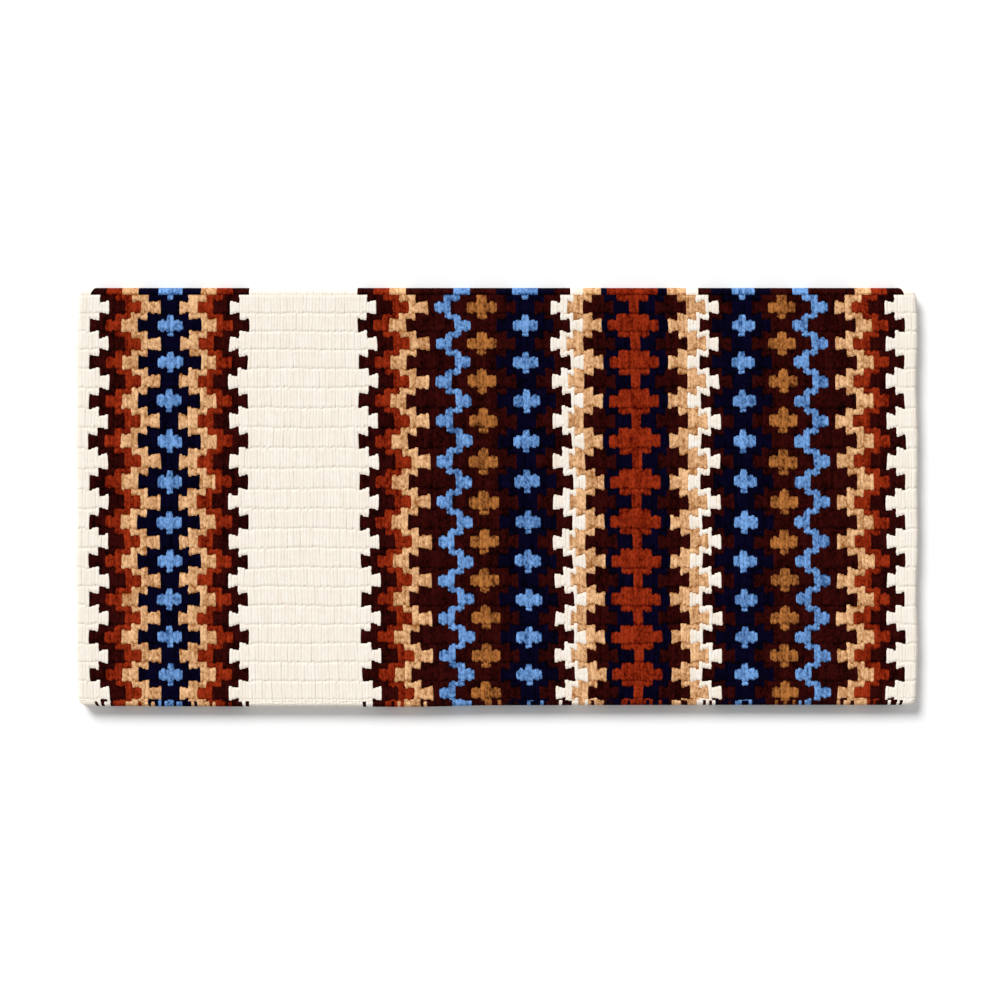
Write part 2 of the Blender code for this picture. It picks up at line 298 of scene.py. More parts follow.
def stations_over(ribs, fine):
    """(place, lift, width) along a float over some ribs: ends, shoulders, crowns and dips."""
    places = [(0.0, END_LIFT, END_WIDTH)]
    if fine:
        places.append((SHOULDER_SHARE, SHOULDER_LIFT, 1.0))
    for rib in range(ribs):
        places.append((rib + 0.5, 1.0, 1.0))
        if fine and rib < ribs - 1:
            places.append((rib + 1.0, DIP_LIFT, 1.0))
    if fine:
        places.append((ribs - SHOULDER_SHARE, SHOULDER_LIFT, 1.0))
    places.append((float(ribs), END_LIFT, END_WIDTH))
    return places


def write_maps(bm, section, stations):
    """Two maps of the surface: yarn, for the material, and OFBake, where no faces overlap.

    The edges of both ends are made sharp, or smooth shading would darken the last of the yarn.
    """
    yarn_map = bm.loops.layers.uv.new("yarn")
    bake_map = bm.loops.layers.uv.new("OFBake")
    length = stations[-1][0]
    section_index = {(round(a, DIGITS), round(g, DIGITS)): i for i, (a, g) in enumerate(section)}
    for face in bm.faces:
        points = [loop.vert.co for loop in face.loops]
        spots = [section_index[round(p.x, DIGITS), round(p.z, DIGITS)] for p in points]
        if abs(face.normal.y) > CAP_FACING:
            for edge in face.edges:
                edge.smooth = False
            strip = 0.0 if face.loops[0].vert.co.y < length / 2 else 1 - CAP_STRIP
            for loop in face.loops:
                across, rise = loop.vert.co.x + 0.5, loop.vert.co.z
                loop[yarn_map].uv = (across, loop.vert.co.y)
                loop[bake_map].uv = (
                    CAP_MARGIN + (1 - 2 * CAP_MARGIN) * across,
                    strip + CAP_STRIP * (CAP_FOOT + CAP_RISE * rise),
                )
            continue
        wraps = max(spots) - min(spots) > 1
        for loop, spot in zip(face.loops, spots):
            around = (len(section) if wraps and spot == 0 else spot) / len(section)
            along = loop.vert.co.y / length
            loop[yarn_map].uv = (around, loop.vert.co.y)
            loop[bake_map].uv = (
                SIDE_MARGIN + (1 - 2 * SIDE_MARGIN) * around,
                SIDES_START + (1 - 2 * SIDES_START) * along,
            )


def finished_mesh(bm, name):
    """The bmesh as a mesh of this name."""
    mesh = bpy.data.meshes.new(name)
    bm.to_mesh(mesh)
    bm.free()
    return mesh


def float_form(name, stations, section):
    """A float as a mesh. x is across the yarn, y counts ribs along it and z is its rise."""
    bm = bmesh.new()
    end = bm.faces.new([bm.verts.new((a, 0, g)) for a, g in section])
    for (here, *_), (there, *_) in zip(stations, stations[1:]):
        grown = bmesh.ops.extrude_face_region(bm, geom=[end])["geom"]
        end = next(part for part in grown if isinstance(part, bmesh.types.BMFace))
        bmesh.ops.translate(bm, verts=end.verts, vec=(0, there - here, 0))
    bmesh.ops.recalc_face_normals(bm, faces=bm.faces)
    write_maps(bm, section, stations)
    shape_at = {round(place, DIGITS): (lift, width) for place, lift, width in stations}
    for vert in bm.verts:
        lift, width = shape_at[round(vert.co.y, DIGITS)]
        if vert.co.z > VISIBLE_FROM:
            vert.co.x *= width
        vert.co.z *= lift
    return finished_mesh(bm, name)


FORMS = {}
for fine, section in ((True, FINE_SECTION), (False, PLAIN_SECTION)):
    for ribs in (1, 2, 3):
        name = f"{'fine' if fine else 'plain'}_float_{ribs}"
        FORMS[fine, ribs] = float_form(name, stations_over(ribs, fine), section)
        print(name, len(FORMS[fine, ribs].vertices), "vertices")

# %% [markdown]
# Two more forms bend a long way round. A fold float goes over the ribs on both sides of the
# fold, and a turn is the loop in which the weft goes round the selvedge cord from one face to
# the other. Both need more stations, evenly spaced, so that they stay round.

# %% The long forms
FOLD_STATIONS = 10
TURN_STATIONS = 10
INNER_FOLD_STATIONS = 6
TURN_LENGTH = math.pi * CLOTH_RADIUS
FOLD_END_SHAPE = [(0.8, END_WIDTH)]  # lift and width of the end
TURN_END_SHAPE = [(0.5, 0.3), (0.95, 0.8)]  # of the end and of the station next to it


def long_stations(ribs, steps, end_shape):
    """Evenly spaced stations at full height and width, with both ends drawn down and in."""
    stations = [(ribs * i / steps, 1.0, 1.0) for i in range(steps + 1)]
    for i, shape in enumerate(end_shape):
        for spot in (i, steps - i):
            stations[spot] = (stations[spot][0], *shape)
    return stations


fold_stations = long_stations(2, FOLD_STATIONS, FOLD_END_SHAPE)
inner_fold_stations = long_stations(2, INNER_FOLD_STATIONS, FOLD_END_SHAPE)
turn_stations = long_stations(3, TURN_STATIONS, TURN_END_SHAPE)
FORMS["fold"] = float_form("fold_float", fold_stations, FINE_SECTION)
FORMS["inner_fold"] = float_form("inner_fold_float", inner_fold_stations, PLAIN_SECTION)
FORMS["turn"] = float_form("turn", turn_stations, FINE_SECTION)
print("long forms", [len(FORMS[form].vertices) for form in ("fold", "inner_fold", "turn")])

# %% [markdown]
# Hand-packed weft is never quite even. Each float is a little too high or low, leans a little
# and starts a little early or late. These chances are drawn once, from a fixed seed, when a
# float is laid. The outermost floats of a block of colour spread over their neighbours, so the
# block flares at its corners, but the softer yarns draw back there and look round. Laying only
# notes where the floats of a piece go. The piece is made later, when all are known.

# %% Laying floats
SIDE_SHIFT = 0.00013
END_SLIP = 0.0006
END_OVERLAP = 0.0005
LEAN = 0.00015
WIDTH_SHARE = 1.24  # neighbours press into each other
LEAST_LIFT = 0.97
SIDE_REACH = 0.0011  # how much further the outermost floats of a block run
SOFT_SIDE_REACH = {"sky_blue": -0.0018, "ochre": -0.0012, "rust": -0.0006}
YARN_STARTS = 7  # ribs, along which a float's own stretch of yarn may begin
SEED = 11
chance = np.random.default_rng(SEED)
laid = {}


def lay_floats(piece, form, columns, start, stop, face, hand):
    """Notes one float of this form at each of the columns, from start to stop of the run."""
    count = len(columns)
    if count == 0:
        return
    overlap = END_OVERLAP * np.sign(stop - start)
    laid.setdefault(piece, []).append(
        {
            "form": form,
            "across": COLUMN_ACROSS[columns] + chance.normal(0, SIDE_SHIFT, count),
            "width": COLUMN_WIDTH[columns] * WIDTH_SHARE,
            "start": np.zeros(count) + start - overlap,
            "stop": np.zeros(count) + stop + overlap,
            "lean": chance.normal(0, LEAN, count),
            "lift": chance.uniform(LEAST_LIFT, 1.0, count),
            "tint": chance.uniform(0, 1, count),
            "yarn_start": chance.uniform(0, YARN_STARTS, count),
            "face": face,
            "hand": hand,
        }
    )


TURN_EARLY = 0.0032  # before the middle of the selvedge cord, where a turn comes up
TURN_START = 0.0018  # how far the last float runs on under the turn
FOLD_END = 0.85 * ROLL_RUN  # from the middle of the fold to where its weft dives
FOLD_SLIP = 0.5  # of the slip elsewhere
GROUP = 3  # ribs, a lone one and then two of the same level


def shown_on(rib):
    """The number of the stripe that shows on this rib, for each column."""
    return DRAFT[LEVELS[rib % len(LEVELS)]][COLUMN_PICK]


def side_reach(rib):
    """How much further each column's float runs on this rib because it is a block's outermost."""
    shown = shown_on(rib)
    changes = np.concatenate([[False], shown[1:] != shown[:-1], [False]])
    further = np.array([SOFT_SIDE_REACH.get(YARN_OF[stripe], SIDE_REACH) for stripe in STRIPES])
    return (changes[1:] | changes[:-1]) * further[shown]


def diving_lines():
    """The run at which floats meet, for each rib line and column."""
    lines = []
    for number in range(WARPS_PER_HALF):
        slip = chance.uniform(-END_SLIP, END_SLIP, len(COLUMN_ACROSS))
        if number > 1:
            lines.append(number * RIB + slip + side_reach(number - 1) - side_reach(number))
        else:
            lines.append(FOLD_END + slip * FOLD_SLIP)
    return lines


def weave_face(half, half_sign, face):
    """Notes the floats of one face, group by group. Three ribs make a group, and one is left."""
    fine = half == "top" and face == 1
    hand = -half_sign * face
    lines = [half_sign * line for line in diving_lines()]
    firsts = range(1, WARPS_PER_HALF - 1, GROUP)
    groups = [(first, first + 1, first + GROUP) for first in firsts]
    for begin, step, end in groups:
        lone, pair = shown_on(begin), shown_on(step)
        whole = lone == pair
        for number, stripe in enumerate(STRIPES):
            for ribs, here, start, stop in (
                (3, whole & (pair == number), begin, end),
                (1, ~whole & (lone == number), begin, step),
                (2, ~whole & (pair == number), step, end),
            ):
                columns = np.flatnonzero(here)
                ends = lines[start][columns], lines[stop][columns]
                lay_floats(f"{half}_{stripe}_weave", (fine, ribs), columns, *ends, face, hand)
    last = WARPS_PER_HALF - 1
    last_end = np.full(len(COLUMN_ACROSS), half_sign * (NOSE_RUN - TURN_EARLY + TURN_START))
    for number, stripe in enumerate(STRIPES):
        columns = np.flatnonzero(shown_on(last) == number)
        ends = lines[last][columns], last_end[columns]
        lay_floats(f"{half}_{stripe}_weave", (fine, 1), columns, *ends, face, hand)


for half, half_sign in (("top", 1), ("under", -1)):
    for face in (1, -1):
        weave_face(half, half_sign, face)
print(sum(len(b["across"]) for batches in laid.values() for b in batches), "floats laid")

# %% [markdown]
# The weft over the fold is laid the same way, but it belongs to neither half. Its pieces are
# split by yarn.

# %% Weft over the fold
at_fold = shown_on(0)
for yarn in dict.fromkeys(YARN_OF.values()):
    of_yarn = [i for i, stripe in enumerate(STRIPES) if YARN_OF[stripe] == yarn]
    columns = np.flatnonzero(np.isin(at_fold, of_yarn))
    lay_floats(f"spine_fold_{yarn}", "fold", columns, -FOLD_END, FOLD_END, 1, -1)
    lay_floats(f"spine_fold_{yarn}", "inner_fold", columns, -FOLD_END, FOLD_END, -1, 1)
print([name for name in laid if name.startswith("spine_fold")])

# %% [markdown]
# At the selvedge the yarns that were hidden inside come out too, because every one of them has
# to turn. So the loops there change colour from pick to pick: the yarn of the stripe, then one
# of its neighbours. In the plain field all the yarns are ivory, and nothing changes.

# %% Turns at the selvedge
OTHER_SHARES = (0.6, 0.2)  # how often a neighbour's yarn turns at even and odd picks
TURN_SLIP = 0.0018


def turning_stripes(half):
    """The stripe whose yarn turns at each column: mostly its own, with neighbours between."""
    own = DRAFT[1][COLUMN_PICK]
    turning = own.copy()
    for column in range(len(own)):
        pick = COLUMN_PICK[column]
        others = sorted({int(DRAFT[level][pick]) for level in (0, 2)} - {int(own[column])})
        if others and chance.uniform() < OTHER_SHARES[column % 2]:
            turning[column] = chance.choice(others)
    return turning


for half, half_sign in (("top", 1), ("under", -1)):
    turning = turning_stripes(half)
    for number, stripe in enumerate(STRIPES):
        columns = np.flatnonzero(turning == number)
        early = TURN_EARLY + chance.uniform(-TURN_SLIP, TURN_SLIP, len(columns))
        begin = half_sign * (NOSE_RUN - early)
        end = half_sign * (NOSE_RUN + TURN_LENGTH + early)
        lay_floats(f"{half}_{stripe}_weave", "turn", columns, begin, end, 1, -half_sign)
print("floats and turns:", sum(len(b["across"]) for batches in laid.values() for b in batches))

# %% [markdown]
# Wool is matt, soft and never one colour. Three effects are shared by all the yarns, so each is
# a node group. Ply twist is the slanting groove between the plies of a yarn. The second group
# gives the heathered tone, which changes from float to float, in soft clouds and in fine streaks
# of fibre that follow the twist, and it also paints shade: darker in the grooves between plies
# and where a float dives. Fuzz is the fine loose fibre on top. They read the yarn map, the tint
# of each float and the mask of its ends, and Object coordinates.

# %% Effects shared by the yarns
PLIES = 3
FLOAT_SHADE, FLOAT_SWING = 0.37, 0.36  # where between deep and light a float lies
# painted shade at both ends of a float, where it dives between the ribs
PAINTED_DIVE_SHADE = -0.5
CLOUD_SCALE, CLOUD_SWING, CLOUD_DETAIL = (480.0, 300.0, 300.0), 1.7, 2.0
DRIFT_SCALE, DRIFT_SWING, DRIFT_DETAIL = 90.0, 0.7, 1.0
STREAKS_ROUND, STREAKS_ALONG, STREAKS_APART = 16.0, 1.3, 40.0
STREAK_SWING, STREAK_DETAIL = 1.5, 2.0
# painted shade in the grooves between plies, as a share of the colour
PAINTED_GROOVE_SHADE = 0.1
FUZZ_SCALE = 1600.0
FUZZ_NOISE = {"Detail": 3.0, "Roughness": 0.65}
LEAST_ROUGHNESS, ROUGHNESS_SWING = 0.82, 0.16
MIX_A, MIX_B, MIX_RESULT = 6, 7, 2  # the colour sockets of a Mix node


def socket(group, name, direction, kind="NodeSocketFloat", value=None):
    made = group.interface.new_socket(name=name, in_out=direction, socket_type=kind)
    if value is not None:
        made.default_value = value


def add(tree, kind, inputs=None, **settings):
    """A node with its settings, and inputs that are values or the sockets that feed them."""
    node = tree.nodes.new(kind)
    for key, value in settings.items():
        setattr(node, key, value)
    for key, value in (inputs or {}).items():
        if isinstance(value, bpy.types.NodeSocket):
            tree.links.new(value, node.inputs[key])
        else:
            node.inputs[key].default_value = value
    return node


def math_node(tree, operation, *values):
    return add(tree, "ShaderNodeMath", dict(enumerate(values)), operation=operation).outputs[0]


def swing(tree, value, amount):
    """A value between 0 and 1 as a change to both sides of nothing."""
    return math_node(tree, "MULTIPLY_ADD", value, amount, -amount / 2)


def ply_twist_group():
    """How high the plies stand, and how far round the yarn they have turned, from its map."""
    group = bpy.data.node_groups.new("Ply twist", "ShaderNodeTree")
    socket(group, "Turns", "INPUT", value=1.0)
    socket(group, "Height", "OUTPUT")
    socket(group, "Phase", "OUTPUT")
    given = add(group, "NodeGroupInput")
    result = add(group, "NodeGroupOutput")
    place = add(group, "ShaderNodeUVMap", uv_map="yarn")
    parts = add(group, "ShaderNodeSeparateXYZ", {0: place.outputs[0]})
    along = math_node(group, "MULTIPLY", parts.outputs["Y"], given.outputs["Turns"])
    phase = math_node(group, "ADD", along, parts.outputs["X"])
    wave = math_node(group, "SINE", math_node(group, "MULTIPLY", phase, PLIES * math.pi))
    group.links.new(math_node(group, "ABSOLUTE", wave), result.inputs["Height"])
    group.links.new(phase, result.inputs["Phase"])
    return group


def heather_and_shade_group():
    """A heathered tone between deep and light, with clouds and streaks of fibre.

    It also paints shade: darker in the grooves between plies and where a float dives.
    """
    group = bpy.data.node_groups.new("Heather and painted shade", "ShaderNodeTree")
    socket(group, "Deep", "INPUT", "NodeSocketColor")
    socket(group, "Light", "INPUT", "NodeSocketColor")
    socket(group, "Groove", "INPUT", value=1.0)
    socket(group, "Phase", "INPUT", value=0.0)
    socket(group, "Color", "OUTPUT", "NodeSocketColor")
    given = add(group, "NodeGroupInput")
    result = add(group, "NodeGroupOutput")
    tint = add(group, "ShaderNodeAttribute", attribute_name="tint").outputs["Fac"]
    dive_shade_mask = add(group, "ShaderNodeAttribute", attribute_name="dive_shade_mask").outputs["Fac"]
    yarn = add(group, "ShaderNodeUVMap", uv_map="yarn").outputs[0]
    along = add(group, "ShaderNodeSeparateXYZ", {0: yarn}).outputs["Y"]
    place = add(group, "ShaderNodeTexCoord").outputs["Object"]

    cloud_place = add(group, "ShaderNodeMapping", {"Vector": place, "Scale": CLOUD_SCALE}).outputs[0]
    cloud = {"Vector": cloud_place, "Scale": 1.0, "Detail": CLOUD_DETAIL}
    clouds = swing(group, add(group, "ShaderNodeTexNoise", cloud).outputs[0], CLOUD_SWING)
    streak_parts = {
        "X": math_node(group, "MULTIPLY", given.outputs["Phase"], STREAKS_ROUND),
        "Y": math_node(group, "MULTIPLY", along, STREAKS_ALONG),
        "Z": math_node(group, "MULTIPLY", tint, STREAKS_APART),
    }
    streak_place = add(group, "ShaderNodeCombineXYZ", streak_parts).outputs[0]
    streak = {"Vector": streak_place, "Scale": 1.0, "Detail": STREAK_DETAIL}
    streaks = swing(group, add(group, "ShaderNodeTexNoise", streak).outputs[0], STREAK_SWING)
    drift = {"Vector": place, "Scale": DRIFT_SCALE, "Detail": DRIFT_DETAIL}
    drifts = swing(group, add(group, "ShaderNodeTexNoise", drift).outputs[0], DRIFT_SWING)

    blend = math_node(group, "MULTIPLY_ADD", tint, FLOAT_SWING, FLOAT_SHADE)
    # Painted shade: the colour goes towards the deep side at both ends of a float, where it dives.
    blend = math_node(group, "MULTIPLY_ADD", dive_shade_mask, PAINTED_DIVE_SHADE, blend)
    for change in (clouds, streaks, drifts):
        blend = math_node(group, "ADD", blend, change)
    mixed = add(group, "ShaderNodeMix", data_type="RGBA", clamp_factor=True)
    group.links.new(blend, mixed.inputs[0])
    group.links.new(given.outputs["Deep"], mixed.inputs[MIX_A])
    group.links.new(given.outputs["Light"], mixed.inputs[MIX_B])
    # Painted shade: the colour is multiplied down in the grooves between the plies.
    shaded = add(group, "ShaderNodeMix", data_type="RGBA", blend_type="MULTIPLY")
    shaded.inputs[0].default_value = 1.0
    groove = given.outputs["Groove"]
    painted_groove_shade = math_node(group, "MULTIPLY_ADD", groove, PAINTED_GROOVE_SHADE, 1 - PAINTED_GROOVE_SHADE)
    group.links.new(mixed.outputs[MIX_RESULT], shaded.inputs[MIX_A])
    group.links.new(painted_groove_shade, shaded.inputs[MIX_B])
    group.links.new(shaded.outputs[MIX_RESULT], result.inputs["Color"])
    return group


def fuzz_group():
    """Fine loose fibre: a height, and a roughness that changes with it."""
    group = bpy.data.node_groups.new("Fuzz", "ShaderNodeTree")
    socket(group, "Scale", "INPUT", value=FUZZ_SCALE)
    socket(group, "Height", "OUTPUT")
    socket(group, "Roughness", "OUTPUT")
    given = add(group, "NodeGroupInput")
    result = add(group, "NodeGroupOutput")
    place = add(group, "ShaderNodeTexCoord").outputs["Object"]
    fibre = add(group, "ShaderNodeTexNoise", {"Vector": place, **FUZZ_NOISE})
    group.links.new(given.outputs["Scale"], fibre.inputs["Scale"])
    group.links.new(fibre.outputs[0], result.inputs["Height"])
    changes = fibre.outputs[0], ROUGHNESS_SWING, LEAST_ROUGHNESS
    group.links.new(math_node(group, "MULTIPLY_ADD", *changes), result.inputs["Roughness"])
    return group


PLY_TWIST = ply_twist_group()
HEATHER_AND_SHADE = heather_and_shade_group()
FUZZ = fuzz_group()
print("groups:", [group.name for group in bpy.data.node_groups])

# %% [markdown]
# Each yarn has a deep and a light shade, which lie to both sides of the colour that the eye
# takes from the cloth. The material keeps its shader and its bump, and the groups feed them.
# Sheen is the pale bloom of wool seen at a slant. It is the same all over, so it is set on the
# shader itself.

# %% The yarns
YARNS = {
    "ivory": ((0.93, 0.83, 0.71), (1.0, 0.935, 0.84)),
    "white": ((0.90, 0.76, 0.61), (1.0, 0.95, 0.88)),
    "tan": ((0.33, 0.11, 0.02), (1.0, 0.61, 0.32)),
    "rust": ((0.065, 0.001, 0.0001), (0.38, 0.036, 0.008)),
    "dark_brown": ((0.002, 0.0001, 0.0001), (0.044, 0.004, 0.003)),
    "navy": ((0.0001, 0.0001, 0.001), (0.003, 0.002, 0.017)),
    "sky_blue": ((0.016, 0.06, 0.19), (0.225, 0.45, 0.87)),
    "ochre": ((0.04, 0.005, 0.001), (0.56, 0.205, 0.05)),
}

GLOSS = 0.006
SHEEN, SHEEN_ROUGHNESS = 0.006, 0.6
TWIST_TURNS = 1.0  # of the plies, with each rib that a float goes over
BUMP_STRENGTH, BUMP_HEIGHT = 0.4, 0.0004
FUZZ_SHARE = 0.5  # of the height of the plies


def new_material(name):
    """A material, its node tree and its shader."""
    material = bpy.data.materials.new(name)
    material.use_nodes = True
    return material, material.node_tree, material.node_tree.nodes["Principled BSDF"]


def wool(name, deep, light):
    """A wool material: heathered tone and painted shade for colour, ply twist and fuzz for the
    surface.
    """
    material, tree, shader = new_material(name)
    shader.inputs["Metallic"].default_value = 0.0
    shader.inputs["Specular IOR Level"].default_value = GLOSS
    shader.inputs["Sheen Weight"].default_value = SHEEN
    shader.inputs["Sheen Roughness"].default_value = SHEEN_ROUGHNESS
    twist = add(tree, "ShaderNodeGroup", node_tree=PLY_TWIST)
    twist.inputs["Turns"].default_value = TWIST_TURNS
    fuzz = add(tree, "ShaderNodeGroup", node_tree=FUZZ)
    heather_and_shade = add(tree, "ShaderNodeGroup", node_tree=HEATHER_AND_SHADE)
    heather_and_shade.inputs["Deep"].default_value = (*deep, 1)
    heather_and_shade.inputs["Light"].default_value = (*light, 1)
    tree.links.new(twist.outputs["Height"], heather_and_shade.inputs["Groove"])
    tree.links.new(twist.outputs["Phase"], heather_and_shade.inputs["Phase"])
    tree.links.new(heather_and_shade.outputs["Color"], shader.inputs["Base Color"])
    tree.links.new(fuzz.outputs["Roughness"], shader.inputs["Roughness"])
    heights = fuzz.outputs["Height"], FUZZ_SHARE, twist.outputs["Height"]
    height = math_node(tree, "MULTIPLY_ADD", *heights)
    bump = {"Strength": BUMP_STRENGTH, "Distance": BUMP_HEIGHT, "Height": height}
    bumped = add(tree, "ShaderNodeBump", bump)
    tree.links.new(bumped.outputs["Normal"], shader.inputs["Normal"])
    return material


WOOLS = {yarn: wool(f"{yarn}_wool", deep, light) for yarn, (deep, light) in YARNS.items()}
print(len(WOOLS), "wools")

# %% [markdown]
# Now the floats of a piece become one mesh. The form of each float is added to a bmesh as many
# times as it was laid. All the copies still lie in one place, and one sum over arrays then
# bends every copy onto the folded cloth. The maps are spread out in the same step: on the
# OFBake map each float gets a rectangle of its own in a grid that fills the square.

# %% Making a piece
RIBS_OF = {"fold": 4, "inner_fold": 2, "turn": 3}  # the length of a long form on the bake map
CELL_WIDTH = 0.009  # about the way round a yarn
SPARE_ROWS = 2  # because a column ends early where the next float does not fit
BENT_KEYS = ("across", "width", "start", "stop", "lean", "lift")


def read_form(form):
    """The points, corner vertices and maps of a form, as arrays."""
    mesh = FORMS[form]
    points = np.empty(3 * len(mesh.vertices), np.float32)
    mesh.vertices.foreach_get("co", points)
    maps = {}
    for layer in mesh.uv_layers:
        flat = np.empty(2 * len(mesh.loops), np.float32)
        layer.uv.foreach_get("vector", flat)
        maps[layer.name] = flat.reshape(-1, 2)
    return points.reshape(-1, 3).astype(float), maps


READ = {form: read_form(form) for form in FORMS}


def bent(batch):
    """The points of every float in a batch, on the folded blanket."""
    points, _ = READ[batch["form"]]
    a, t, g = points[:, 0], points[:, 1] / points[:, 1].max(), points[:, 2]
    column = {key: batch[key][:, None] for key in BENT_KEYS}
    sway = column["lean"] * (2 * t - 1)
    across = column["across"] + sway + batch["hand"] * a * column["width"]
    run = column["start"] + (column["stop"] - column["start"]) * t
    reach = batch["face"] * (BASE + (CLOTH_RADIUS - BASE) * g * column["lift"])
    return lay(across, run, reach).reshape(-1, 3)


def bake_places(lengths):
    """(column, row) of each float in a grid of nearly square outline, and the grid's size."""
    columns = max(1, round(math.sqrt(sum(lengths) * RIB / CELL_WIDTH)))
    rows = math.ceil(sum(lengths) / columns) + SPARE_ROWS
    places = []
    column = row = 0
    for length in lengths:
        if row + length > rows:
            column, row = column + 1, 0
        places.append((column, row))
        row += length
    return np.array(places, float), column + 1, rows


def put_in_scene(name, data):
    """An object of this name, linked to the scene."""
    made = bpy.data.objects.new(name, data)
    bpy.context.scene.collection.objects.link(made)
    return made


def make_piece(name, batches, material):
    """One mesh object with all the floats of these batches."""
    bm = bmesh.new()
    for batch in batches:
        for _ in range(len(batch["across"])):
            bm.from_mesh(FORMS[batch["form"]])
    mesh = finished_mesh(bm, name)
    points = np.concatenate([bent(batch) for batch in batches])
    mesh.vertices.foreach_set("co", points.astype(np.float32).ravel())

    lengths = []
    for batch in batches:
        form = batch["form"]
        ribs = RIBS_OF[form] if isinstance(form, str) else form[1]
        lengths += [ribs] * len(batch["across"])
    places, columns, rows = bake_places(lengths)
    yarn, bake, tint, dive_shade_mask = [], [], [], []
    done = 0
    for batch in batches:
        count = len(batch["across"])
        form_points, maps = READ[batch["form"]]
        here = places[done : done + count]
        ribs = lengths[done]
        done += count
        cell = maps["OFBake"][None] * (1, ribs) + here[:, None]
        bake.append((cell / (columns, rows)).reshape(-1, 2))
        shift = np.stack([np.zeros(count), batch["yarn_start"]], axis=1)
        yarn.append((maps["yarn"][None] + shift[:, None]).reshape(-1, 2))
        tint.append(np.repeat(batch["tint"], len(form_points)))
        along = form_points[:, 1]
        # The painted shade mask: 1 at both ends of each float, where it dives, and 0 elsewhere.
        dive_shade_mask.append(np.tile((along == along.min()) | (along == along.max()), count))
    for layer, parts in (("yarn", yarn), ("OFBake", bake)):
        spots = np.concatenate(parts).astype(np.float32).ravel()
        mesh.uv_layers[layer].uv.foreach_set("vector", spots)
    for layer, parts in (("tint", tint), ("dive_shade_mask", dive_shade_mask)):
        values = mesh.attributes.new(layer, "FLOAT", "POINT")
        values.data.foreach_set("value", np.concatenate(parts).astype(np.float32))
    mesh.materials.append(material)
    mesh.shade_smooth()
    mesh.update()
    return put_in_scene(mesh.name, mesh)


print(len(READ), "forms read")

# %% [markdown]
# The solids of the frame stand for the stripes with straight borders. Each woven piece takes
# the place of the solids of its own stripe, rides on its half of the blanket and is finished in
# the wool of its yarn.

# %% The two halves
STANDS_FOR = {
    "left_border": ["left_border"],
    "left_band_rust": ["left_band_rust_outer", "left_band_rust_inner"],
    "left_band_tan": ["left_band_tan_outer", "left_band_tan_inner"],
    "left_band_navy": ["left_band_navy"],
    "plain_field": ["plain_field"],
    "left_wing_rust": ["left_wing_rust"],
    "left_wing_dark_brown": ["left_wing_brown"],
    "left_wing_sky_zigzag": ["left_wing_sky"],
    "left_wing_ochre_cross": ["left_wing_ochre"],
    "left_wing_navy": ["left_wing_navy"],
    "centre_white": ["centre_white_left", "centre_white_right"],
    "centre_tan": ["centre_tan_left", "centre_tan_right"],
    "centre_navy": ["centre_navy_left", "centre_navy_right"],
    "centre_rust": ["centre_rust"],
    "right_wing_navy": ["right_wing_navy"],
    "right_wing_ochre_cross": ["right_wing_ochre"],
    "right_wing_sky_zigzag": ["right_wing_sky"],
    "right_wing_dark_brown": ["right_wing_brown"],
    "right_wing_rust": ["right_wing_rust"],
    "right_border": ["right_border"],
}
woven = {"top": [], "under": []}
triangles = 0
for half in woven:
    for stripe in STRIPES:
        name = f"{half}_{stripe}_weave"
        piece = make_piece(name, laid[name], WOOLS[YARN_OF[stripe]])
        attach(piece, f"{half}_half")
        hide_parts(*(f"{half}_{node}" for node in STANDS_FOR.get(stripe, [])))
        woven[half].append(piece)
        triangles += sum(len(face.vertices) - 2 for face in piece.data.polygons)
    print(half, "half:", len(woven[half]), "pieces,", triangles, "triangles so far")

# %% [markdown]
# Where the cloth crosses the joint it can't ride on either half. The pieces of the fold are
# made here, the solids they stand for are hidden, and their places are fixed in the world, on
# no half.

# %% The fold
FOLD_STANDS_FOR = {
    "rust": ["spine_fold_left_band"],
    "ivory": ["spine_fold_plain_field"],
    "dark_brown": ["spine_fold_pattern"],
}
for yarn, material in WOOLS.items():
    name = f"spine_fold_{yarn}"
    if name not in laid:
        continue
    piece = make_piece(name, laid[name], material)
    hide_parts(*FOLD_STANDS_FOR.get(yarn, []))
    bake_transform(piece)

# %% [markdown]
# The warp inside the fold has to go down with its weft when the blanket opens. A solid of the
# frame can't bend, so a copy of it takes its place. Its loose triangles are joined, because a
# bend moves points and not faces.

# %% The warp of the fold
MERGE = 0.000001
warp_bm = bmesh.new()
warp_bm.from_mesh(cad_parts["spine_fold_warp"].data)
bmesh.ops.remove_doubles(warp_bm, verts=warp_bm.verts, dist=MERGE)
warp_mesh = finished_mesh(warp_bm, "spine_fold_warp_strand")
fold_warp = put_in_scene(warp_mesh.name, warp_mesh)
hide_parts("spine_fold_warp")
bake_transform(fold_warp)
print("fold warp:", len(warp_mesh.vertices), "points")

# %% [markdown]
# Inside the cloth a buried pick of thin weft goes over one warp and under the next, and ties
# the two faces together. It is the one layer that is a continuous sheet. A grid is made with
# bmesh, waved over and under the warps, and given its thickness with solidify.

# %% The tie weft
TIE_THICKNESS = 0.0002
TIE_INSIDE = 0.00015  # how far the tie stays below the weft of a face
TIE_REACH = BASE - TIE_INSIDE
TIE_GAP = 0.0002  # between the ties of the halves and the fold's own
TIE_END = 0.01  # how far the tie stays inside the warp ends
TIE_STEPS_PER_RIB = 4
TIE_STEPS_ACROSS = 12


